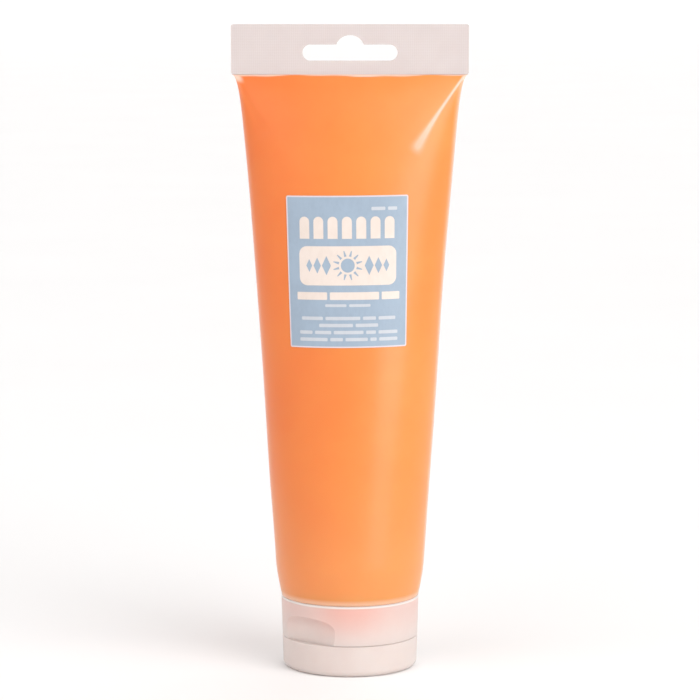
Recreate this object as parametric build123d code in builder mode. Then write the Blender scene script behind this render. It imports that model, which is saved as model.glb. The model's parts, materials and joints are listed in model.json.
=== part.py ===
from build123d import *
import os
from math import cos, exp, pi, radians, sin, sqrt

os.makedirs("parts", exist_ok=True)

# A squeeze tube of block-printing ink, standing on its flip-top closure.
# The origin is the centre of the lid's outer face, +Z runs up the tube to the hang tail and
# the label faces -Y. All sizes are in millimetres.

# Driving dimensions: the sleeve, a round extruded film tube pressed flat and welded at its tail
sleeve_radius = 25.0  # of the round stretch just above the shoulder
sleeve_wall = 0.5
flat_half_width = pi * sleeve_radius / 2  # half of the same sleeve pressed flat
shoulder_radius = 23.05  # where the sleeve ends, just above the closure's rim
shoulder_height = 24.4
round_height = 37.0  # the shoulder's curve ends here and the flattening begins
seal_height = 198.5
width_growth = 0.0652  # half width gained per millimetre of height
corner_flare = 3.7  # half width that the welded corners add at the seal
corner_fade = 0.34  # how fast that flare dies away below the seal, per square root of a millimetre
belly_length = 12.0  # the filled belly closes into the weld over about this length

# The tail: both films welded into one flat strip with a hang slot
tail_height = 16.5
tail_thickness = 1.0
tail_corner = 0.8
slot_width = 31.4
slot_height = 5.3
slot_bottom = 203.0
bump_width = 9.4  # of the slot's raised middle, where it meets the slot
bump_height = 3.1
bump_overlap = 0.5  # the bump's cut starts this far inside the slot

# The closure, a cup round the neck with a deck that the lid shuts against
rim_height = 24.1
parting_height = 10.5
parting_gap = 0.1
lid_base_radius = 22.45
draft = 0.027  # radius gained per millimetre of height
skirt_wall = 1.2
lid_floor = 1.3
lid_edge_radius = 2.0
lid_edge_arc = 2.05  # the edge's arc is a little larger, since the wall leans out
lid_corner = 1.0  # chamfer inside, between the lid's floor and wall
deck_bottom = 9.2
deck_thickness = 1.2
boss_radius = 21.3  # the raised disc that the lid's wall fits round
boss_wall = 1.0
boss_clearance = 0.15
skirt_foot = 1.5  # the skirt's inside starts this far above the deck
edge_break = 0.3  # chamfer on the closure's outer edges
parting_break = 0.2  # finer chamfer along the parting line

# The thumb recess is a flat facet in the skirt, opposite the hinge
recess_azimuth = -130.0
recess_distance = 20.3  # from the axis to the facet
recess_top = 19.95
recess_round = 4.8
recess_shelf = 1.0  # the wall behind the facet slopes out over this height to the shelf above

# The neck and its right-hand thread
neck_bore = 7.0
neck_root = 8.6
neck_crest = 9.5
neck_mouth = 10.45
cone_height = 20.9  # where the shoulder's cone meets the neck
ring_radius = 20.9  # inside of the ring that is fused into the sleeve
ring_top = 29.5
ring_top_radius = 22.6
ring_waist_radius = 21.7
ring_waist_height = 27.0
cone_foot_height = 25.7  # where the cone's upper face meets the ring
neck_blend = 0.6  # chamfer between the neck and the cone
bore_top = 21.9  # the bore opens out into the cone here
bore_blend_radius = 7.8
bore_blend_height = 22.6
pitch = 3.0
thread_turns = 1.5
ridge_base = 1.6
ridge_crest = 0.8
ridge_sink = 0.15  # the thread's foot is sunk this far into its wall
neck_thread_start = 12.2
collar_crest = 8.85
collar_root = 9.75
collar_radius = 11.1
collar_top = 18.0
collar_chamfer = 0.5
collar_lead_in = 0.4
collar_thread_turns = 0.93
ink_clearance = 0.05
ink_recess = 0.3  # the ink stops this far short of the neck's mouth

# The spout in the deck, and the lid's plug that shuts it
orifice_radius = 2.25
spout_flange = 5.0
spout_mouth = 6.9
spout_tip_radius = 3.6
spout_root_radius = 4.3
spout_chamfer = 0.4
orifice_break = 0.2
funnel = 1.0  # chamfer that leads the ink into the orifice
plug_radius = 2.18
plug_tip_radius = 1.94
plug_depth = 2.0  # from the spout's mouth to the end of the plug's taper
plug_point = 0.4
plug_foot_radius = 3.08
plug_stem_radius = 2.68
plug_foot = 0.5
plug_seat = 1.2  # the plug is straight for this length below the spout's mouth

# The hinge, straight across the closure's back
film_thickness = 0.3
pad_distance = 22.78
pad_half_width = 8.0
pad_reach = 3.2  # height of the flat pad on each side of the parting line
film_reach = 1.3
film_inner = 3.0  # the two films lie between these distances from the middle
film_outer = 7.5
strap_half_width = 2.3
strap_reach = 2.6
strap_bow = 0.5

# The front label
label_width = 40.4
label_bottom = 109.9
label_height = 49.6
label_thickness = 0.15
label_corner = 0.8

cavity_top = 197.6  # where the two films come together
recess_normal = Vector(cos(radians(recess_azimuth)), sin(radians(recess_azimuth)), 0)
hinge_normal = -recess_normal


def closure_radius(height):
    """Outer radius of the closure, which is drawn in a little towards the lid."""
    return lid_base_radius + draft * height


def plain_half_width(height):
    """Half width of the filled sleeve, without the flare of its welded corners."""
    return sleeve_radius + width_growth * (height - round_height)


def half_width(height):
    """Half width of the sleeve across the front at a height."""
    if height <= round_height:
        share = (round_height - height) / (round_height - shoulder_height)
        return sleeve_radius - (sleeve_radius - shoulder_radius) * share**1.5
    flare = corner_flare * exp(-corner_fade * sqrt(seal_height - height))
    start = corner_flare * exp(-corner_fade * sqrt(seal_height - round_height))
    return plain_half_width(height) + flare - start


def half_depth(height):
    """Half depth of the sleeve: the film's girth stays that of the round tube."""
    if height <= round_height:
        return half_width(height)
    wide = plain_half_width(height)
    low, high = 0.1, sleeve_radius + 0.1
    for step in range(50):
        deep = (low + high) / 2
        ratio = ((wide - deep) / (wide + deep)) ** 2
        girth = pi * (wide + deep) * (1 + 3 * ratio / (10 + sqrt(4 - 3 * ratio)))
        if girth < 2 * pi * sleeve_radius:
            low = deep
        else:
            high = deep
    belly = 1 - exp(-(seal_height - height) / belly_length)
    return tail_thickness / 2 + (deep - tail_thickness / 2) * belly


lower_heights = [shoulder_height, 27.5, 31.0, 34.5, round_height, 42.0, 52.0, 66.0, 84.0]
upper_heights = [104.0, 124.0, 142.0, 157.0, 169.0, 178.5, 186.0, 191.5, 195.3]


def sleeve_sections(growth, top):
    """The sleeve's cross sections, moved out or in from its outer face by growth."""
    sections = []
    for height in lower_heights + upper_heights + [top]:
        with BuildSketch(Plane.XY.offset(height)) as section:
            Ellipse(half_width(height) + growth, half_depth(height) + growth)
        sections.append(section.sketch.face())
    return sections


# The sleeve: one film tube, round at the shoulder and flat at the tail
with BuildPart() as tube_sleeve:
    loft(sleeve_sections(0, seal_height))
    loft(sleeve_sections(-sleeve_wall, cavity_top), mode=Mode.SUBTRACT)

# The welded tail, with a hang slot whose middle rises so that the tube hangs level
slot_middle = slot_bottom + slot_height / 2
with BuildPart() as hang_tail:
    with BuildSketch(Plane.XZ.offset(-tail_thickness / 2)) as strip:
        with Locations((0, seal_height + tail_height / 2)):
            Rectangle(2 * flat_half_width, tail_height)
        fillet(strip.vertices().group_by(Axis.Z)[-1], tail_corner)
        with Locations((0, slot_middle)):
            SlotOverall(slot_width, slot_height, mode=Mode.SUBTRACT)
    extrude(amount=tail_thickness)
    bump_bottom = slot_bottom + slot_height - bump_overlap
    bump_top = slot_bottom + slot_height + bump_height
    with BuildSketch(Plane.XZ.offset(-tail_thickness / 2)):
        with BuildLine():
            bump_left = (-bump_width / 2, bump_bottom)
            bump_right = (bump_width / 2, bump_bottom)
            arch = ThreePointArc(bump_left, (0, bump_top), bump_right)
            Line(arch @ 1, arch @ 0)
        make_face()
    extrude(amount=tail_thickness, mode=Mode.SUBTRACT)

# The head: a ring fused inside the sleeve's end, a cone and the threaded neck
with BuildPart() as tube_head:
    loft(sleeve_sections(-sleeve_wall, cavity_top))
    with BuildSketch(Plane.XZ):
        with BuildLine():
            Polyline(
                (ring_radius, shoulder_height),
                (2 * sleeve_radius, shoulder_height),
                (2 * sleeve_radius, ring_top),
                (ring_top_radius, ring_top),
                (ring_waist_radius, ring_waist_height),
                close=True,
            )
        make_face()
    revolve(axis=Axis.Z, mode=Mode.INTERSECT)
    with BuildSketch(Plane.XZ):
        with BuildLine():
            Polyline(
                (shoulder_radius - sleeve_wall, shoulder_height),
                (neck_root + neck_blend, cone_height),
                (neck_root, cone_height - neck_blend),
                (neck_root, neck_mouth),
                (neck_bore, neck_mouth),
                (neck_bore, bore_top),
                (bore_blend_radius, bore_blend_height),
                (ring_waist_radius, cone_foot_height),
                close=True,
            )
        make_face()
    revolve(axis=Axis.Z)
    neck_helix = Helix(pitch, pitch * thread_turns, neck_root, center=(0, 0, neck_thread_start))
    with BuildSketch(Plane.XZ):
        with BuildLine():
            Polyline(
                (neck_root - ridge_sink, neck_thread_start - ridge_base / 2),
                (neck_crest, neck_thread_start - ridge_crest / 2),
                (neck_crest, neck_thread_start + ridge_crest / 2),
                (neck_root - ridge_sink, neck_thread_start + ridge_base / 2),
                close=True,
            )
        make_face()
    sweep(path=neck_helix, is_frenet=True)

# The ink fills the sleeve and the head down to the top of the neck's bore
with BuildPart() as ink_fill:
    loft(sleeve_sections(-sleeve_wall, cavity_top))
    with BuildSketch(Plane.XZ):
        with BuildLine():
            Polyline(
                (0, bore_top),
                (neck_bore, bore_top),
                (bore_blend_radius, bore_blend_height),
                (ring_waist_radius, cone_foot_height),
                (0, cone_foot_height),
                close=True,
            )
        make_face()
    revolve(axis=Axis.Z)
    add(tube_head.part, mode=Mode.SUBTRACT)

# The ink in the neck, a round column that stands just clear of the bore
with BuildPart() as neck_ink:
    with BuildSketch(Plane.XY.offset(neck_mouth + ink_recess)):
        Circle(neck_bore - ink_clearance)
    extrude(amount=bore_top - ink_clearance - neck_mouth - ink_recess)

# The label, a thin sheet on the front of the sleeve
with BuildPart() as front_label:
    loft(sleeve_sections(label_thickness, seal_height))
    loft(sleeve_sections(0, seal_height), mode=Mode.SUBTRACT)
    with BuildSketch(Plane.XZ):
        with Locations((0, label_bottom + label_height / 2)):
            RectangleRounded(label_width, label_height, label_corner)
    extrude(amount=2 * sleeve_radius, mode=Mode.INTERSECT)

# The closure's parting line, and the planes of its recess and hinge: X outwards, Y up
body_face = parting_height + parting_gap / 2
lid_face = parting_height - parting_gap / 2
deck_top = deck_bottom + deck_thickness
up = Vector(0, 0, 1)
recess_plane = Plane(origin=(0, 0, 0), x_dir=recess_normal, z_dir=recess_normal.cross(up))
hinge_plane = Plane(origin=(0, 0, 0), x_dir=hinge_normal, z_dir=hinge_normal.cross(up))

# The closure's hollow, which leaves a wall behind the thumb recess
with BuildPart() as closure_hollow:
    with BuildSketch(Plane.XZ):
        with BuildLine():
            Polyline(
                (0, deck_top),
                (boss_radius - boss_wall, deck_top),
                (boss_radius - boss_wall, deck_top + skirt_foot),
                (closure_radius(body_face) - skirt_wall, deck_top + skirt_foot),
                (closure_radius(rim_height) - skirt_wall, rim_height),
                (0, rim_height),
                close=True,
            )
        make_face()
    revolve(axis=Axis.Z)
    with BuildSketch(recess_plane):
        with BuildLine():
            Polyline(
                (recess_distance - skirt_wall, 0),
                (2 * sleeve_radius, 0),
                (2 * sleeve_radius, recess_top + skirt_wall),
                (recess_distance + recess_shelf, recess_top + skirt_wall),
                (recess_distance - skirt_wall, recess_top - recess_shelf),
                close=True,
            )
        make_face()
    extrude(amount=sleeve_radius, both=True, mode=Mode.SUBTRACT)

# The closure's shell: skirt, deck and thumb recess
with BuildPart() as closure_body:
    with BuildSketch(Plane.XZ):
        with BuildLine():
            Polyline(
                (0, deck_bottom),
                (boss_radius - edge_break, deck_bottom),
                (boss_radius, deck_bottom + edge_break),
                (boss_radius, body_face),
                (closure_radius(body_face) - parting_break, body_face),
                (closure_radius(body_face), body_face + parting_break),
                (closure_radius(rim_height), rim_height - edge_break),
                (closure_radius(rim_height) - edge_break, rim_height),
                (0, rim_height),
                close=True,
            )
        make_face()
    revolve(axis=Axis.Z)
    with BuildSketch(hinge_plane):
        with Locations(((pad_distance + recess_distance) / 2, body_face + pad_reach / 2)):
            Rectangle(pad_distance - recess_distance, pad_reach)
    extrude(amount=pad_half_width, both=True)
    add(closure_hollow.part, mode=Mode.SUBTRACT)
    with BuildSketch(Plane.XY.offset(deck_bottom)):
        Circle(spout_flange)
    extrude(amount=deck_thickness, mode=Mode.SUBTRACT)
    with BuildSketch(recess_plane):
        with BuildLine():
            floor = Line((recess_distance, body_face), (recess_distance, recess_top - recess_round))
            curve = RadiusArc(floor @ 1, (recess_distance + recess_round, recess_top), recess_round)
            Polyline(
                curve @ 1,
                (2 * sleeve_radius, recess_top),
                (2 * sleeve_radius, body_face),
                floor @ 0,
            )
        make_face()
    extrude(amount=sleeve_radius, both=True, mode=Mode.SUBTRACT)

# The threaded collar that grips the neck
with BuildPart() as thread_collar:
    with BuildSketch(Plane.XZ):
        with BuildLine():
            Polyline(
                (collar_root, deck_top),
                (collar_radius, deck_top),
                (collar_radius, collar_top - collar_chamfer),
                (collar_radius - collar_chamfer, collar_top),
                (collar_root + collar_lead_in, collar_top),
                (collar_root, collar_top - collar_lead_in),
                close=True,
            )
        make_face()
    revolve(axis=Axis.Z)
    collar_thread_start = neck_thread_start + pitch / 2
    collar_helix = Helix(
        pitch, pitch * collar_thread_turns, collar_root, center=(0, 0, collar_thread_start)
    )
    with BuildSketch(Plane.XZ):
        with BuildLine():
            Polyline(
                (collar_root + ridge_sink, collar_thread_start - ridge_base / 2),
                (collar_root + ridge_sink, collar_thread_start + ridge_base / 2),
                (collar_crest, collar_thread_start + ridge_crest / 2),
                (collar_crest, collar_thread_start - ridge_crest / 2),
                close=True,
            )
        make_face()
    sweep(path=collar_helix, is_frenet=True)

# The spout, with a flange that fills the deck's centre hole
with BuildPart() as dispensing_spout:
    with BuildSketch(Plane.XZ):
        with BuildLine():
            Polyline(
                (orifice_radius, spout_mouth + orifice_break),
                (orifice_radius + orifice_break, spout_mouth),
                (spout_tip_radius, spout_mouth),
                (spout_tip_radius + spout_chamfer, spout_mouth + spout_chamfer),
                (spout_root_radius, deck_bottom),
                (spout_flange, deck_bottom),
                (spout_flange, deck_top),
                (orifice_radius + funnel, deck_top),
                (orifice_radius, deck_top - funnel),
                close=True,
            )
        make_face()
    revolve(axis=Axis.Z)

# The lid: a shallow cup whose wall fits round the deck's raised disc
lid_bore = boss_radius + boss_clearance
with BuildPart() as flip_lid:
    with BuildSketch(Plane.XZ):
        with BuildLine():
            base = Line((0, 0), (lid_base_radius - lid_edge_radius, 0))
            edge_end = (closure_radius(lid_edge_radius), lid_edge_radius)
            edge = RadiusArc(base @ 1, edge_end, -lid_edge_arc)
            Polyline(
                edge @ 1,
                (closure_radius(lid_face), lid_face - parting_break),
                (closure_radius(lid_face) - parting_break, lid_face),
                (0, lid_face),
                (0, 0),
            )
        make_face()
    revolve(axis=Axis.Z)
    with BuildSketch(hinge_plane):
        with Locations(((pad_distance + recess_distance) / 2, lid_face - pad_reach / 2)):
            Rectangle(pad_distance - recess_distance, pad_reach)
    extrude(amount=pad_half_width, both=True)
    with BuildSketch(Plane.XZ):
        with BuildLine():
            Polyline(
                (0, lid_floor),
                (lid_bore - lid_corner, lid_floor),
                (lid_bore, lid_floor + lid_corner),
                (lid_bore, lid_face),
                (0, lid_face),
                close=True,
            )
        make_face()
    revolve(axis=Axis.Z, mode=Mode.SUBTRACT)

# The plug inside the lid, tapered so that it swings clear of the spout
with BuildPart() as lid_plug:
    with BuildSketch(Plane.XZ):
        with BuildLine():
            Polyline(
                (0, lid_floor),
                (plug_foot_radius, lid_floor),
                (plug_stem_radius, lid_floor + plug_foot),
                (plug_radius, spout_mouth - plug_seat),
                (plug_radius, spout_mouth),
                (plug_tip_radius, spout_mouth + plug_depth),
                (plug_tip_radius - plug_point, spout_mouth + plug_depth + plug_point),
                (0, spout_mouth + plug_depth + plug_point),
                close=True,
            )
        make_face()
    revolve(axis=Axis.Z)

# The hinge: two thin films on the axis, and between them a bowed strap that springs the lid over
film_middle = pad_distance + film_thickness / 2
with BuildPart() as hinge_films:
    with BuildSketch(hinge_plane):
        with Locations((film_middle, parting_height)):
            Rectangle(film_thickness, 2 * film_reach)
    extrude(amount=film_outer, both=True)
    with BuildSketch(hinge_plane):
        with Locations((film_middle, parting_height)):
            Rectangle(2 * film_thickness, 4 * film_reach)
    extrude(amount=film_inner, both=True, mode=Mode.SUBTRACT)

with BuildPart() as hinge_strap:
    with BuildSketch(hinge_plane):
        with BuildLine():
            low = (pad_distance, parting_height - strap_reach)
            high = (pad_distance, parting_height + strap_reach)
            inner_bow = ThreePointArc(low, (pad_distance + strap_bow, parting_height), high)
            outer_bow = ThreePointArc(
                (pad_distance + film_thickness, parting_height - strap_reach),
                (pad_distance + strap_bow + film_thickness, parting_height),
                (pad_distance + film_thickness, parting_height + strap_reach),
            )
            Line(inner_bow @ 0, outer_bow @ 0)
            Line(inner_bow @ 1, outer_bow @ 1)
        make_face()
    extrude(amount=strap_half_width, both=True)

pieces = {
    "tube_sleeve": tube_sleeve,
    "hang_tail": hang_tail,
    "tube_head": tube_head,
    "ink_fill": ink_fill,
    "neck_ink": neck_ink,
    "front_label": front_label,
    "closure_body": closure_body,
    "thread_collar": thread_collar,
    "dispensing_spout": dispensing_spout,
    "flip_lid": flip_lid,
    "lid_plug": lid_plug,
    "hinge_films": hinge_films,
    "hinge_strap": hinge_strap,
}
for name, piece in pieces.items():
    piece.part.label = name
    export_step(piece.part, f"parts/{name}.step")
    print(name, round(piece.part.volume, 1), "mm3")
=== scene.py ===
import json
import math

import bmesh
import bpy
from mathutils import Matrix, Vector


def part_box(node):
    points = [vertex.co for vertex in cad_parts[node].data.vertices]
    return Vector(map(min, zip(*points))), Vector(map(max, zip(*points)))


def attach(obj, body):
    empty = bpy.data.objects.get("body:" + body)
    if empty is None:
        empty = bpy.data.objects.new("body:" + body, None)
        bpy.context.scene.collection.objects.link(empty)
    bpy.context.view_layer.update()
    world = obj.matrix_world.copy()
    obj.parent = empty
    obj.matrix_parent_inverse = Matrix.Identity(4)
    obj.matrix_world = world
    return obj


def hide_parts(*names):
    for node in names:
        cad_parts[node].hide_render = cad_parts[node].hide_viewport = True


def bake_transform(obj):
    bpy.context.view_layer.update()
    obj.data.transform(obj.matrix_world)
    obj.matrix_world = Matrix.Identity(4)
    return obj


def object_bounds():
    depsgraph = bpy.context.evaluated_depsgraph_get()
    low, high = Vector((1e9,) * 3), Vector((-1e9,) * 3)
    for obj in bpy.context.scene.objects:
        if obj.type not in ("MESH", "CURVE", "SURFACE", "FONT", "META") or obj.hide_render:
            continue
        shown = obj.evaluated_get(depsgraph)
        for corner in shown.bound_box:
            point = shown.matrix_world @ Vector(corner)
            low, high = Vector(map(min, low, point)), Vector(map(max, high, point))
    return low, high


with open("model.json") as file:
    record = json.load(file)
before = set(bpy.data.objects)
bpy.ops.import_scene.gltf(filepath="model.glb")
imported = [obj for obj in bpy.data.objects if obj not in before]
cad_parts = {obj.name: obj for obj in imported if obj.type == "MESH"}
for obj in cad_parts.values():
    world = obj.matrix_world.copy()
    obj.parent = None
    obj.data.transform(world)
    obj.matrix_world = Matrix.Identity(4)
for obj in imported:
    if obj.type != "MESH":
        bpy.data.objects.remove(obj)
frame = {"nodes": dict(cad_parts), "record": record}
cad_low, cad_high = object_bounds()

MM = 0.001


# The sleeve's shape, worked out from the frame in the same way as the model's

sleeve_low, sleeve_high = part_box("tube_sleeve")
tail_low, tail_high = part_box("hang_tail")

SHOULDER = sleeve_low.z
SEAL = sleeve_high.z
ROUND = SHOULDER + 12.6 * MM  # the shoulder's curve ends here and the flattening begins
TAIL_HALF = tail_high.x
TAIL_THICK = tail_high.y - tail_low.y
SLEEVE_RADIUS = 2 * TAIL_HALF / math.pi  # the tail is the round sleeve pressed flat
SHOULDER_RADIUS = SLEEVE_RADIUS - 1.95 * MM
FILM = 0.5 * MM
WIDTH_GROWTH = 0.0652  # half width gained for each unit of height
CORNER_FLARE = 3.7 * MM  # half width that the welded corners add at the seal
CORNER_FADE = 0.34  # how fast that flare dies away, per square root of a millimetre
BELLY_LENGTH = 12 * MM  # the belly closes into the weld over about this length


def plain_half_width(height):
    """Half width of the filled sleeve without the flare of its welded corners."""
    return SLEEVE_RADIUS + WIDTH_GROWTH * (height - ROUND)


def half_width(height):
    """Half width of the sleeve at a height."""
    if height <= ROUND:
        share = min(1.0, max(0.0, ROUND - height) / (ROUND - SHOULDER))
        return SLEEVE_RADIUS - (SLEEVE_RADIUS - SHOULDER_RADIUS) * share**1.5
    fade = math.exp(-CORNER_FADE * math.sqrt(max(0.0, SEAL - height) / MM))
    start = math.exp(-CORNER_FADE * math.sqrt((SEAL - ROUND) / MM))
    return plain_half_width(height) + CORNER_FLARE * (fade - start)


def half_depth(height):
    """Half depth of the sleeve: its girth stays that of the round tube."""
    if height <= ROUND:
        return half_width(height)
    wide = plain_half_width(height)
    low, high = 0.1 * MM, SLEEVE_RADIUS + 0.1 * MM
    for _ in range(40):
        deep = (low + high) / 2
        ratio = ((wide - deep) / (wide + deep)) ** 2
        girth = math.pi * (wide + deep) * (1 + 3 * ratio / (10 + math.sqrt(4 - 3 * ratio)))
        if girth < 2 * math.pi * SLEEVE_RADIUS:
            low = deep
        else:
            high = deep
    belly = 1 - math.exp(-max(0.0, SEAL - height) / BELLY_LENGTH)
    return TAIL_THICK / 2 + (deep - TAIL_THICK / 2) * belly


# Node materials


class Shader:
    """Builds one node material, a few nodes at a time."""

    def __init__(self, name):
        self.material = bpy.data.materials.new(name)
        self.material.use_nodes = True
        self.tree = self.material.node_tree
        self.tree.nodes.clear()
        self.output = self.add("ShaderNodeOutputMaterial")
        self.coords = self.add("ShaderNodeTexCoord").outputs["Object"]

    def add(self, kind, **settings):
        node = self.tree.nodes.new(kind)
        for key, value in settings.items():
            setattr(node, key, value)
        return node

    def link(self, source, target):
        self.tree.links.new(source, target)

    def fill(self, socket, value):
        if isinstance(value, bpy.types.NodeSocket):
            self.link(value, socket)
        else:
            socket.default_value = value

    def principled(self, **inputs):
        node = self.add("ShaderNodeBsdfPrincipled")
        for key, value in inputs.items():
            self.fill(node.inputs[key.replace("_", " ")], value)
        return node

    def noise(self, scale, detail=2.0, roughness=0.5, stretch=None):
        node = self.add("ShaderNodeTexNoise")
        node.inputs["Scale"].default_value = scale
        node.inputs["Detail"].default_value = detail
        node.inputs["Roughness"].default_value = roughness
        self.link(self.stretched(stretch) if stretch else self.coords, node.inputs["Vector"])
        return node.outputs["Fac"]

    def stretched(self, stretch):
        node = self.add("ShaderNodeMapping")
        node.inputs["Scale"].default_value = stretch
        self.link(self.coords, node.inputs["Vector"])
        return node.outputs["Vector"]

    def wave(self, direction, per_metre, distortion=0.0):
        node = self.add("ShaderNodeTexWave", bands_direction=direction)
        node.inputs["Scale"].default_value = per_metre / 20 * 2 * math.pi
        node.inputs["Distortion"].default_value = distortion
        self.link(self.coords, node.inputs["Vector"])
        return node.outputs["Fac"]

    def ramp(self, value, low, high, to_low=0.0, to_high=1.0):
        node = self.add("ShaderNodeMapRange", interpolation_type="SMOOTHSTEP")
        self.fill(node.inputs["Value"], value)
        node.inputs["From Min"].default_value = low
        node.inputs["From Max"].default_value = high
        node.inputs["To Min"].default_value = to_low
        node.inputs["To Max"].default_value = to_high
        return node.outputs["Result"]

    def math(self, operation, first, second=0.0):
        node = self.add("ShaderNodeMath", operation=operation)
        self.fill(node.inputs[0], first)
        self.fill(node.inputs[1], second)
        return node.outputs[0]

    def mix(self, factor, first, second):
        node = self.add("ShaderNodeMix", data_type="RGBA")
        self.fill(node.inputs["Factor"], factor)
        self.fill(node.inputs[6], first)
        self.fill(node.inputs[7], second)
        return node.outputs[2]

    def axis(self, index):
        node = self.add("ShaderNodeSeparateXYZ")
        self.link(self.coords, node.inputs[0])
        return node.outputs[index]

    def attribute(self, name):
        return self.add("ShaderNodeAttribute", attribute_name=name).outputs["Fac"]

    def bump(self, height, distance, strength=1.0, normal=None):
        node = self.add("ShaderNodeBump")
        node.inputs["Strength"].default_value = strength
        node.inputs["Distance"].default_value = distance
        self.link(height, node.inputs["Height"])
        if normal is not None:
            self.link(normal, node.inputs["Normal"])
        return node.outputs["Normal"]

    def finish(self, shader):
        self.link(shader.outputs[0], self.output.inputs["Surface"])
        return self.material


def rgb(red, green, blue):
    """A colour given in 8-bit sRGB, as the linear colour that shaders take."""
    parts = [c / 255 for c in (red, green, blue)]
    return tuple(c / 12.92 if c <= 0.04045 else ((c + 0.055) / 1.055) ** 2.4 for c in parts) + (1.0,)


def make_film_over_ink():
    """Glossy film wetted by the ink inside; it pales where it folds away from the ink. The pale fold lines
    and side edges are partly painted highlight, and painted light makes the right side lighter than the
    left.
    """
    s = Shader("film_over_ink")
    cloud = s.noise(28, 3, 0.55)
    # painted light: the orange runs from deeper on the left to lighter on the right, where the key light
    # falls
    across = s.ramp(s.axis(0), -32 * MM, 22 * MM)
    low = s.mix(across, rgb(226, 112, 40), rgb(223, 134, 56))
    high = s.mix(across, rgb(228, 120, 46), rgb(225, 142, 64))
    even = s.mix(s.ramp(cloud, 0.3, 0.7), low, high)
    foot = s.ramp(s.axis(2), 75 * MM, 25 * MM, 0.0, 0.5)  # the colour turns paler towards the shoulder
    orange = s.mix(foot, even, rgb(228, 152, 88))
    # dry film, with the painted highlight of the folds and side edges, paled towards a pinkish white
    dry_and_highlight = s.attribute("dry_and_highlight")
    colour = s.mix(dry_and_highlight, orange, rgb(236, 196, 178))
    flow = s.noise(45, 2, 0.5, stretch=(1.0, 1.0, 0.35))
    grain = s.noise(900, 2, 0.5)
    roughness = s.ramp(flow, 0.25, 0.75, 0.34, 0.42)
    normal = s.bump(grain, 0.004 * MM, 0.5)
    normal = s.bump(flow, 0.05 * MM, 0.5, normal)
    node = s.principled(Base_Color=colour, Roughness=roughness, Normal=normal, IOR=1.5)
    node.inputs["Subsurface Weight"].default_value = 0.3
    node.inputs["Subsurface Radius"].default_value = (3.0 * MM, 1.2 * MM, 0.5 * MM)
    node.inputs["Subsurface Scale"].default_value = 1.0
    node.inputs["Coat Weight"].default_value = 0.2
    node.inputs["Coat Roughness"].default_value = 0.22
    return s.finish(node)


def make_clear_film():
    """The welded tail: milky film with the fine cross ribs of the sealing jaws."""
    s = Shader("clear_film")
    ribs = s.wave("X", 1 / (0.7 * MM))
    rows = s.wave("Z", 1 / (0.9 * MM))
    mesh = s.math("ADD", ribs, s.math("MULTIPLY", rows, 0.6))
    cloud = s.noise(90, 3, 0.6)
    tone = s.mix(s.ramp(cloud, 0.3, 0.7), rgb(213, 203, 201), rgb(216, 207, 205))
    shaded = s.mix(s.math("MULTIPLY", mesh, 0.22), tone, rgb(200, 184, 181))
    normal = s.bump(mesh, 0.03 * MM, 0.6)
    normal = s.bump(s.noise(700, 2), 0.01 * MM, 0.4, normal)
    roughness = s.ramp(cloud, 0.2, 0.8, 0.3, 0.42)
    node = s.principled(Base_Color=shaded, Roughness=roughness, Normal=normal, IOR=1.5)
    node.inputs["Subsurface Weight"].default_value = 0.2
    node.inputs["Subsurface Radius"].default_value = (1.5 * MM, 1.2 * MM, 1.0 * MM)
    node.inputs["Subsurface Scale"].default_value = 1.0
    node.inputs["Alpha"].default_value = 0.82
    return s.finish(node)


def make_polypropylene():
    """Natural polypropylene of the closure: milky and satin, with a painted pink glow of the ink in the
    neck shining through, and a painted highlight along its rim.
    """
    s = Shader("natural_polypropylene")
    cloud = s.noise(120, 3, 0.55)
    pale = s.mix(s.ramp(cloud, 0.3, 0.7), rgb(240, 224, 218), rgb(242, 228, 222))
    sideways = s.math("ABSOLUTE", s.axis(0))
    near_neck = s.ramp(sideways, 2 * MM, 16 * MM, 1.0, 0.42)
    # painted glow: the pink of the ink in the neck shining through the plastic, strongest at the top near
    # the middle
    painted_glow = s.math("MULTIPLY", s.ramp(s.axis(2), 9 * MM, 24 * MM), near_neck)
    with_painted_glow = s.mix(painted_glow, pale, rgb(251, 197, 185))
    # painted highlight: a near-white line along the top edge of the rim, where light catches it
    rim = s.ramp(s.axis(2), 23.2 * MM, 23.5 * MM)
    colour = s.mix(rim, with_painted_glow, rgb(255, 246, 242))
    roughness = s.ramp(s.noise(400, 2), 0.3, 0.7, 0.34, 0.42)
    normal = s.bump(s.noise(1500, 2), 0.008 * MM, 0.5)
    node = s.principled(Base_Color=colour, Roughness=roughness, Normal=normal, IOR=1.4)
    node.inputs["Transmission Weight"].default_value = 0.3
    node.inputs["Subsurface Weight"].default_value = 0.3
    node.inputs["Subsurface Radius"].default_value = (2.0 * MM, 1.6 * MM, 1.4 * MM)
    node.inputs["Subsurface Scale"].default_value = 1.0
    return s.finish(node)


def make_head_plastic():
    """Translucent polyethylene of the tube's head, coloured through by the ink inside."""
    s = Shader("head_polyethylene")
    cloud = s.noise(90, 3, 0.55)
    colour = s.mix(s.ramp(cloud, 0.3, 0.7), rgb(252, 130, 88), rgb(254, 142, 100))
    normal = s.bump(s.noise(800, 2), 0.01 * MM, 0.5)
    node = s.principled(Base_Color=colour, Roughness=s.ramp(cloud, 0.2, 0.8, 0.35, 0.45), Normal=normal)
    node.inputs["Subsurface Weight"].default_value = 0.4
    node.inputs["Subsurface Radius"].default_value = (2.0 * MM, 1.0 * MM, 0.7 * MM)
    node.inputs["Subsurface Scale"].default_value = 1.0
    return s.finish(node)


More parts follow.
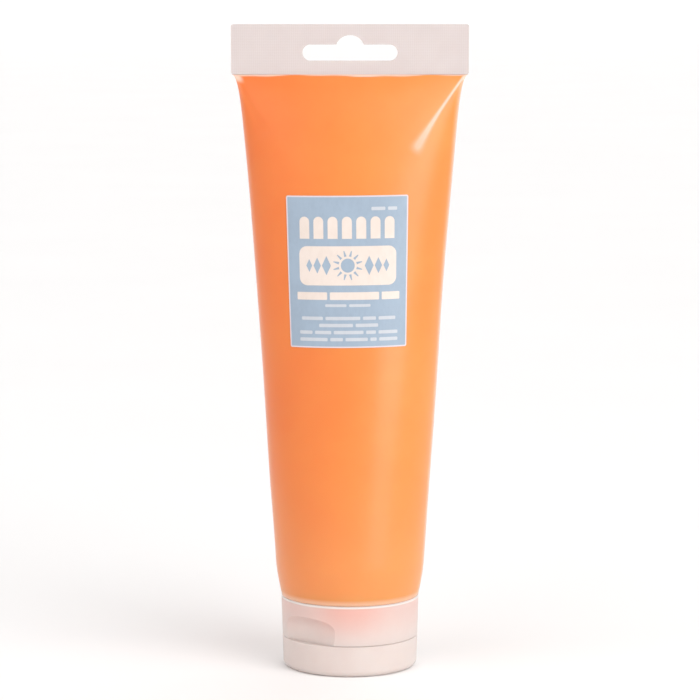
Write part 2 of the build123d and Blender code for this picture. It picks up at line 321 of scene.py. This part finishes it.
def make_ink():
    """Thick orange ink, wet and slightly streaked."""
    s = Shader("orange_ink")
    streak = s.noise(160, 4, 0.6, stretch=(1.0, 1.0, 0.3))
    colour = s.mix(s.ramp(streak, 0.3, 0.7), rgb(244, 96, 34), rgb(250, 116, 48))
    normal = s.bump(streak, 0.1 * MM, 0.5)
    node = s.principled(Base_Color=colour, Roughness=s.ramp(streak, 0.2, 0.8, 0.25, 0.4), Normal=normal)
    node.inputs["Coat Weight"].default_value = 0.3
    return s.finish(node)


def make_paper(name, low, high, roughness=0.5):
    """Coated label paper or the print on it, with a faint fibre grain."""
    s = Shader(name)
    fibre = s.noise(520, 4, 0.65, stretch=(1.0, 1.0, 0.6))
    cloud = s.noise(70, 2)
    blend = s.math("ADD", s.math("MULTIPLY", fibre, 0.55), s.math("MULTIPLY", cloud, 0.45))
    colour = s.mix(s.ramp(blend, 0.35, 0.65), low, high)
    normal = s.bump(fibre, 0.012 * MM, 0.5)
    shine = s.ramp(fibre, 0.3, 0.7, roughness - 0.06, roughness + 0.06)
    node = s.principled(Base_Color=colour, Roughness=shine, Normal=normal)
    node.inputs["Coat Weight"].default_value = 0.15
    node.inputs["Coat Roughness"].default_value = 0.2
    return s.finish(node)


def make_floor():
    """Pale matt paper sweep."""
    s = Shader("studio_sweep")
    cloud = s.noise(6, 2)
    colour = s.mix(cloud, rgb(246, 246, 246), rgb(249, 249, 249))
    return s.finish(s.principled(Base_Color=colour, Roughness=s.ramp(cloud, 0.2, 0.8, 0.75, 0.85)))


film_over_ink = make_film_over_ink()
clear_film = make_clear_film()
polypropylene = make_polypropylene()
head_plastic = make_head_plastic()
orange_ink = make_ink()
paper_white = make_paper("label_paper", rgb(208, 196, 201), rgb(212, 201, 205))
print_blue = make_paper("label_blue", rgb(145, 161, 178), rgb(150, 167, 184))
print_faint = make_paper("label_faint", rgb(186, 190, 197), rgb(191, 196, 202))
print_cream = make_paper("label_cream", rgb(216, 202, 192), rgb(221, 208, 199))


# Mesh helpers


def new_piece(name, mesh_builder, material, smooth=True):
    """Turns a filled bmesh into a shown object."""
    mesh = bpy.data.meshes.new(name)
    mesh_builder.normal_update()
    mesh_builder.to_mesh(mesh)
    mesh_builder.free()
    piece = bpy.data.objects.new(name, mesh)
    bpy.context.scene.collection.objects.link(piece)
    mesh.materials.append(material)
    for polygon in mesh.polygons:
        polygon.use_smooth = smooth
    return piece


def smoothstep(low, high, value):
    share = max(0.0, min(1.0, (value - low) / (high - low)))
    return share * share * (3 - 2 * share)


# The sleeve


FOLD_ZONE = 40 * MM  # the folds lie within this distance below the seal
FOLD_BOW = -0.4 * MM
RIGHT_FOLD = (Vector((37.0 * MM, SEAL - 1.5 * MM)), Vector((21.2 * MM, SEAL - 24.8 * MM)))
LEFT_FOLD = (Vector((-36.6 * MM, SEAL - 1.5 * MM)), Vector((-27.5 * MM, SEAL - 20.0 * MM)))


def crease(x, z, corner, inner, start_width, end_width):
    """How far a point lies inside a fold that runs in from a welded corner, from 0 to 1."""
    along = inner - corner
    offset = Vector((x, z)) - corner
    share = offset.dot(along) / along.length_squared
    if share < -0.02 or share > 1.1:
        return 0.0
    middle = corner + along * share
    bow = FOLD_BOW * math.sin(math.pi * max(0.0, min(1.0, share)))
    side = (Vector((x, z)) - middle).dot(Vector((-along.y, along.x)).normalized()) - bow
    width = start_width + (end_width - start_width) * max(0.0, share) ** 3
    fade = 1 - smoothstep(0.9, 1.05, share)
    return math.exp(-((side / width) ** 2)) * fade


def folds(x, height, front):
    """The lift of the film in the folds under the welded corners, and their pale line: partly dry film,
    partly a painted highlight on the fold's ridge.
    """
    below = SEAL - height
    if below >= FOLD_ZONE:
        return 0.0, 0.0
    if front:
        right = crease(x, height, *RIGHT_FOLD, 0.36 * MM, 1.75 * MM)
        left = crease(x, height, *LEFT_FOLD, 0.8 * MM, 2.6 * MM)
        lift = 0.1 * MM * right - 0.15 * MM * left
        # painted highlight: the pale line along the front folds stands for light on the fold's ridge as
        # well as film standing clear of the ink
        dry_and_highlight = min(0.85, 1.2 * right) * (1 - 0.35 * smoothstep(12 * MM, 24 * MM, below))
    else:
        back = crease(-x, height, *RIGHT_FOLD, 0.5 * MM, 1.5 * MM)
        lift = 0.22 * MM * back
        # painted highlight on the back fold, partly dry film
        dry_and_highlight = 0.6 * back
    return lift * smoothstep(1.0 * MM, 6.0 * MM, below), dry_and_highlight


def slack(x, height):
    """The slight waves of the filled film, which die away towards the seal and the shoulder."""
    waves = math.sin(x * 95 + 1.3) * math.sin(height * 61 + 0.4)
    waves += 0.6 * math.sin(x * 61 - height * 88 + 2.0)
    calm = smoothstep(0.0, 25 * MM, SEAL - height) * smoothstep(ROUND, ROUND + 30 * MM, height)
    return 0.12 * MM * waves * calm


def edge_dry_and_highlight(x, height, turn):
    """Where the film stands clear of the ink: side edges, foot, welded corners and seal. The pale side
    edges are partly a painted highlight, stronger on the right.
    """
    below = SEAL - height
    # painted highlight: the pale strip along the side edges is partly dry film and partly painted light
    # from the right, so the right edge gets 0.7 and the left 0.3
    side = 1 - smoothstep(0.06, 0.32, abs(math.sin(turn)))
    dry_and_highlight = (0.7 if x > 0 else 0.3) * side
    foot = 1 - smoothstep(SHOULDER + 0.3 * MM, SHOULDER + 2.0 * MM, height)
    dry_and_highlight = max(dry_and_highlight, 0.5 * foot)
    reach = 3.0 * MM if x < 0 else 1.6 * MM
    corner = smoothstep(half_width(height) - reach, half_width(height) - 0.4 * reach, abs(x))
    dry_and_highlight = max(dry_and_highlight, corner * (1 - smoothstep(1.2 * MM, 3.4 * MM, below)))
    ink_line = 0.3 * MM + 0.22 * MM * math.sin(x * 140 + 0.5) + 0.12 * MM * math.sin(x * 420)
    return max(dry_and_highlight, 1 - smoothstep(ink_line, ink_line + 0.35 * MM, below))


def sleeve_point(turn, height, inset=0.0):
    """A point of the sleeve's skin, and how dry the film is there, with the painted highlight of its folds
    and side edges.
    """
    wide, deep = half_width(height) - inset, half_depth(height) - inset
    x, y = wide * math.cos(turn), deep * math.sin(turn)
    normal = Vector((math.cos(turn) / wide, math.sin(turn) / deep, 0)).normalized()
    lift, fold_dry_and_highlight = folds(x, height, y < 0)
    place = Vector((x, y, height)) + normal * (lift + slack(x, height))
    return place, max(fold_dry_and_highlight, edge_dry_and_highlight(x, height, turn))


FOOT = SHOULDER - 0.2 * MM  # the film reaches just past the shoulder, down to the closure's rim


def sleeve_heights():
    """Ring heights, closer together near the weld and the shoulder."""
    fine = 34 * MM
    heights = [FOOT + (ROUND - FOOT) * i / 24 for i in range(24)]
    span = SEAL - fine - ROUND
    heights += [ROUND + span * i / 46 for i in range(46)]
    heights += [SEAL - fine + fine * i / 110 for i in range(111)]
    return heights


def make_sleeve():
    """The outer skin, turned in at the foot by the film's thickness."""
    rings, around = sleeve_heights(), 420
    skin = bmesh.new()
    # per-point dry film and painted highlight, which the film's shader reads
    dry_and_highlight_layer = skin.verts.layers.float.new("dry_and_highlight")
    grid = []
    for height in rings:
        row = []
        for i in range(around):
            turn = 2 * math.pi * i / around
            place, dry_and_highlight = sleeve_point(turn, height)
            vert = skin.verts.new(place)
            vert[dry_and_highlight_layer] = dry_and_highlight
            row.append(vert)
        grid.append(row)
    inner = []
    for height in (FOOT, SHOULDER + 3 * MM):
        inner.append([])
        for i in range(around):
            turn = 2 * math.pi * i / around
            inner[-1].append(skin.verts.new(sleeve_point(turn, height, FILM)[0]))
    rows = [inner[1], inner[0]] + grid
    for lower, upper in zip(rows, rows[1:]):
        for i in range(around):
            j = (i + 1) % around
            skin.faces.new((lower[i], lower[j], upper[j], upper[i]))
    skin.faces.new(list(reversed(rows[0])))
    skin.faces.new(rows[-1])
    piece = new_piece("tube_sleeve_skin", skin, film_over_ink)
    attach(piece, "tube")
    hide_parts("tube_sleeve")


# The label and its print, which wrap round the sleeve's front

LABEL_TILT = math.radians(0.5)
LABEL_SHIFT = -0.8 * MM
label_low, label_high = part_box("front_label")
LABEL_MIDDLE = (label_low.z + label_high.z) / 2
LABEL_HALF_HEIGHT = (label_high.z - label_low.z) / 2
LABEL_HALF_WIDTH = 20.4 * MM
LABEL_TAPER = 0.017  # the paper narrows a little towards its foot


def on_label(u, v, lift):
    """The point of the sleeve's front at a place on the flat label, u across and v up."""
    narrowed = 1 - LABEL_TAPER * (1 - v / LABEL_HALF_HEIGHT)
    across = u * narrowed * math.cos(LABEL_TILT) - v * math.sin(LABEL_TILT) + LABEL_SHIFT
    height = LABEL_MIDDLE + u * math.sin(LABEL_TILT) + v * math.cos(LABEL_TILT)
    wide, deep = half_width(height), half_depth(height)
    steps = 24
    turn = 0.0
    for _ in range(steps):
        slope = math.hypot(wide * math.cos(turn), deep * math.sin(turn))
        turn += abs(across) / steps / slope
    x = wide * math.sin(turn) * (1 if across > 0 else -1)
    turn = -math.acos(max(-1.0, min(1.0, x / wide)))
    place = sleeve_point(turn, height)[0]
    normal = Vector((math.cos(turn) / wide, math.sin(turn) / deep, 0)).normalized()
    return place + normal * lift


def decal(name, outlines, lift, material, thickness=0.0):
    """Thin printed shapes: flat outlines in label units, cut finely and laid on the sleeve."""
    sheet = bmesh.new()
    for outline in outlines:
        sheet.faces.new([sheet.verts.new((u, 0, v)) for u, v in outline])
    low_u = min(u for outline in outlines for u, v in outline)
    high_u = max(u for outline in outlines for u, v in outline)
    low_v = min(v for outline in outlines for u, v in outline)
    high_v = max(v for outline in outlines for u, v in outline)
    columns = [u * MM for u in range(-22, 23) if low_u < u * MM < high_u]
    rows = [v * MM for v in range(-26, 27, 3) if low_v < v * MM < high_v]
    cuts = [(Vector((u, 0, 0)), Vector((1, 0, 0))) for u in columns]
    cuts += [(Vector((0, 0, v)), Vector((0, 0, 1))) for v in rows]
    for place, normal in cuts:
        everything = sheet.verts[:] + sheet.edges[:] + sheet.faces[:]
        bmesh.ops.bisect_plane(sheet, geom=everything, plane_co=place, plane_no=normal)
    if thickness:
        made = bmesh.ops.extrude_face_region(sheet, geom=sheet.faces[:])
        upper = {v for v in made["geom"] if isinstance(v, bmesh.types.BMVert)}
        for vert in sheet.verts:
            height = lift + (thickness if vert in upper else 0.0)
            vert.co = on_label(vert.co.x, vert.co.z, height)
    else:
        for vert in sheet.verts:
            vert.co = on_label(vert.co.x, vert.co.z, lift)
    bmesh.ops.recalc_face_normals(sheet, faces=sheet.faces[:])
    if not thickness and sum(f.normal.y for f in sheet.faces) > 0:
        bmesh.ops.reverse_faces(sheet, faces=sheet.faces[:])
    piece = new_piece(name, sheet, material, smooth=False)
    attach(piece, "tube")
    return piece


def rounded(left, bottom, right, top, radius, steps=5):
    """Outline of a rectangle with round corners, in label millimetres."""
    points = []
    corners = [(right, top, 0), (left, top, 90), (left, bottom, 180), (right, bottom, 270)]
    for x, y, start in corners:
        centre_x = x - radius if x == right else x + radius
        centre_y = y - radius if y == top else y + radius
        for i in range(steps + 1):
            angle = math.radians(start + 90 * i / steps)
            points.append((centre_x + radius * math.cos(angle), centre_y + radius * math.sin(angle)))
    return [(x * MM, y * MM) for x, y in points]


def arch(left, bottom, right, top):
    """A block with a round top."""
    radius = (right - left) / 2
    points = [(right, bottom)]
    for i in range(13):
        angle = math.pi * i / 12
        x = (left + right) / 2 + radius * math.cos(angle)
        points.append((x, top - radius + radius * math.sin(angle)))
    points.append((left, bottom))
    return [(x * MM, y * MM) for x, y in points]


def disc(centre_x, centre_y, radius, steps=28):
    turns = [2 * math.pi * i / steps for i in range(steps)]
    return [((centre_x + radius * math.cos(t)) * MM, (centre_y + radius * math.sin(t)) * MM) for t in turns]


def ray(centre_x, centre_y, inner, outer, angle, half):
    """A tapered ray of the sun motif."""
    points = [(inner, -half), (outer, -half * 0.35), (outer, half * 0.35), (inner, half)]
    out = []
    for along, side in points:
        x = centre_x + along * math.cos(angle) - side * math.sin(angle)
        y = centre_y + along * math.sin(angle) + side * math.cos(angle)
        out.append((x * MM, y * MM))
    return out


def lozenge(centre_x, centre_y, half_x, half_y):
    points = [(half_x, 0), (0, half_y), (-half_x, 0), (0, -half_y)]
    return [((centre_x + x) * MM, (centre_y + y) * MM) for x, y in points]


def line_of_words(left, right, bottom, top, words):
    """Bars that stand for a line of print."""
    gap = 0.9
    room = right - left - gap * (len(words) - 1)
    outlines = []
    x = left
    for word in words:
        width = room * word / sum(words)
        outlines.append(rounded(x, bottom, x + width, top, min(0.28, (top - bottom) / 2.2), 3))
        x += width + gap
    return outlines


def make_label():
    """A white-edged blue label with generic ornament, and bars where print would be."""
    half_w, half_h = LABEL_HALF_WIDTH / MM, LABEL_HALF_HEIGHT / MM
    outline = [rounded(-half_w, -half_h, half_w, half_h, 0.6)]
    paper = decal("front_label_paper", outline, 0.02 * MM, paper_white, 0.13 * MM)
    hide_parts("front_label")
    edge = 0.45
    sheet = [rounded(-half_w + edge, -half_h + edge, half_w - edge, half_h - edge, 0.3)]
    decal("front_label_blue", sheet, 0.17 * MM, print_blue)
    arches = []
    for i in range(7):
        left = -15.9 + i * 4.72
        arches.append(arch(left, 10.8, left + 3.3, 18.0))
    cream = arches + [rounded(-16.2, -4.4, 16.4, 8.4, 2.6)]
    cream += line_of_words(-17.2, 17.6, -9.1, -6.6, [5, 8, 3])
    decal("front_label_print", cream, 0.19 * MM, print_cream)
    faint = line_of_words(8.0, 16.6, 20.0, 21.1, [3, 2])
    faint += line_of_words(-7.6, 7.6, -11.4, -10.5, [5, 5])
    faint += line_of_words(-15.8, 16.2, -15.7, -14.6, [5, 8, 3, 4])
    faint += line_of_words(-9.8, 10.2, -18.0, -16.9, [9, 6])
    faint += line_of_words(-16.6, 17.0, -20.3, -19.2, [4, 5, 9, 3, 6])
    faint += line_of_words(-16.6, 17.0, -22.6, -21.5, [9, 4, 7, 2, 6])
    decal("front_label_small_print", faint, 0.19 * MM, print_faint)
    sun_x, sun_y = 0.1, 2.1
    motif = [disc(sun_x, sun_y, 2.3)]
    motif += [ray(sun_x, sun_y, 3.0, 4.9, math.radians(30 * i + 15), 0.42) for i in range(12)]
    for side in (-1, 1):
        for x, half in [(7.1, 1.5), (10.2, 1.25), (12.9, 1.0)]:
            motif.append(lozenge(sun_x + side * x, sun_y, half, half * 2.1))
    decal("front_label_motif", motif, 0.21 * MM, print_blue)


# The hinge, made of thin webs

joints = {joint["name"]: joint for joint in frame["record"]["behaviour"]["joints"]}
HINGE = Vector(joints["lid_hinge"]["pos_m"])
HINGE_OUT = Vector((HINGE.x, HINGE.y, 0)).normalized()
HINGE_ALONG = Vector((-HINGE_OUT.y, HINGE_OUT.x, 0))


def add_web(mesh, from_along, to_along, bow, reach, thickness):
    """A thin web from the closure's pad to the lid's, thinnest half way, in many rows."""
    rows, columns = 24, 4
    layers = []
    for layer in (0, 1):
        grid = []
        for r in range(rows + 1):
            up = -1 + 2 * r / rows
            thin = 0.45 + 0.55 * up * up
            side = 0.5 * thickness * thin * (1 if layer else -1)
            out = bow * (1 - up * up) + side
            row = []
            for c in range(columns + 1):
                along = from_along + (to_along - from_along) * c / columns
                place = HINGE + HINGE_OUT * out + HINGE_ALONG * along + Vector((0, 0, up * reach))
                row.append(mesh.verts.new(place))
            grid.append(row)
        layers.append(grid)
    for layer, grid in enumerate(layers):
        for r in range(rows):
            for c in range(columns):
                face = [grid[r][c], grid[r][c + 1], grid[r + 1][c + 1], grid[r + 1][c]]
                mesh.faces.new(face if layer else face[::-1])
    inner, outer = layers
    rim = [(r, 0) for r in range(rows + 1)] + [(rows, c) for c in range(1, columns + 1)]
    rim += [(r, columns) for r in range(rows - 1, -1, -1)] + [(0, c) for c in range(columns - 1, 0, -1)]
    for (r1, c1), (r2, c2) in zip(rim, rim[1:] + rim[:1]):
        mesh.faces.new((inner[r1][c1], inner[r2][c2], outer[r2][c2], outer[r1][c1]))


def make_webs(name, node, spans, bow, reach, thickness):
    """The webs that stand for one node of the hinge; each span runs along the hinge line."""
    mesh = bmesh.new()
    for from_along, to_along in spans:
        add_web(mesh, from_along, to_along, bow, reach, thickness)
    bmesh.ops.recalc_face_normals(mesh, faces=mesh.faces[:])
    piece = new_piece(name, mesh, polypropylene)
    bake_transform(piece)
    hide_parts(node)


# The studio: a pale sweep, soft lights and the camera


def make_sweep():
    """A round floor that turns up far from the tube on every side."""
    sweep = bmesh.new()
    flat, bend, around = 7.0, 2.5, 96
    quarter = [math.pi / 2 * i / 10 for i in range(1, 11)]
    profile = [(flat * (i / 8) ** 2, 0.0) for i in range(1, 9)]
    profile += [(flat + bend * math.sin(a), bend * (1 - math.cos(a))) for a in quarter]
    centre = sweep.verts.new((0, 0, cad_low.z))
    rings = []
    for radius, height in profile:
        ring = []
        for i in range(around):
            turn = 2 * math.pi * i / around
            x, y = radius * math.cos(turn), radius * math.sin(turn)
            ring.append(sweep.verts.new((x, y, cad_low.z + height)))
        rings.append(ring)
    for i in range(around):
        sweep.faces.new((centre, rings[0][i], rings[0][(i + 1) % around]))
    for lower, upper in zip(rings, rings[1:]):
        for i in range(around):
            j = (i + 1) % around
            sweep.faces.new((lower[i], upper[i], upper[j], lower[j]))
    new_piece("studio_floor", sweep, make_floor())


def aim_lamp(lamp, place, target):
    holder = bpy.data.objects.new(lamp.name, lamp)
    holder.location = place
    holder.rotation_euler = (Vector(target) - Vector(place)).to_track_quat("-Z", "Y").to_euler()
    bpy.context.scene.collection.objects.link(holder)


def add_softbox(name, place, target, size, power):
    lamp = bpy.data.lights.new(name, "AREA")
    lamp.shape = "RECTANGLE"
    lamp.size, lamp.size_y = size
    lamp.energy = power
    aim_lamp(lamp, place, target)


def add_broad_light(name, place, target, strength, spread, colour):
    """Even light from far off, soft because it comes from a wide part of the sky."""
    lamp = bpy.data.lights.new(name, "SUN")
    lamp.energy = strength
    lamp.angle = math.radians(spread)
    lamp.color = colour
    aim_lamp(lamp, place, target)


def make_studio():
    make_sweep()
    world = bpy.data.worlds.new("studio_air")
    world.use_nodes = True
    world.node_tree.nodes["Background"].inputs["Color"].default_value = (1.0, 1.0, 1.0, 1.0)
    world.node_tree.nodes["Background"].inputs["Strength"].default_value = 0.6
    bpy.context.scene.world = world
    middle = (0, 0, (cad_low.z + cad_high.z) / 2)
    add_broad_light("key_right", (0.9, -0.9, 1.2), middle, 1.1, 50, (1.0, 0.99, 0.98))
    add_broad_light("fill_left", (-1.0, -0.8, 0.9), middle, 0.85, 60, (1.0, 0.92, 0.9))
    add_broad_light("rear", (0.4, 1.0, 0.8), middle, 0.5, 60, (1.0, 0.98, 0.97))
    add_softbox("strip_right", (0.55, -0.62, 0.15), middle, (0.4, 0.8), 3.0)
    view = bpy.context.scene.view_settings
    view.view_transform = "Standard"
    view.look = "None"


CAMERA_DISTANCE = 1.05
CAMERA_TILT = math.radians(7.3)
CAMERA_AIM = Vector((0, 0, 0.1067))
FIELD_WIDTH = 0.2338  # width of the picture at the tube


def make_camera():
    lens = bpy.data.cameras.new("view")
    camera = bpy.data.objects.new("view", lens)
    bpy.context.scene.collection.objects.link(camera)
    back = CAMERA_DISTANCE * math.cos(CAMERA_TILT)
    camera.location = CAMERA_AIM + Vector((0, -back, CAMERA_DISTANCE * math.sin(CAMERA_TILT)))
    camera.rotation_euler = (math.pi / 2 - CAMERA_TILT, 0, 0)
    lens.sensor_width = 36.0
    lens.lens = lens.sensor_width * CAMERA_DISTANCE / FIELD_WIDTH
    lens.clip_start, lens.clip_end = 0.02, 50
    bpy.context.scene.camera = camera


# Everything put together

for name in ("closure_body", "thread_collar", "dispensing_spout", "flip_lid", "lid_plug"):
    frame["nodes"][name].material_slots[0].material = polypropylene
frame["nodes"]["tube_head"].material_slots[0].material = head_plastic
frame["nodes"]["hang_tail"].material_slots[0].material = clear_film
for name in ("ink_fill", "neck_ink"):
    frame["nodes"][name].material_slots[0].material = orange_ink

make_sleeve()
make_label()
film_spans = [(-7.5 * MM, -3.0 * MM), (3.0 * MM, 7.5 * MM)]
strap_span = [(-2.3 * MM, 2.3 * MM)]
make_webs("hinge_film_pair", "hinge_films", film_spans, 0.0, 1.3 * MM, 0.3 * MM)
make_webs("hinge_spring_strap", "hinge_strap", strap_span, 0.5 * MM, 2.6 * MM, 0.3 * MM)
make_studio()
make_camera()
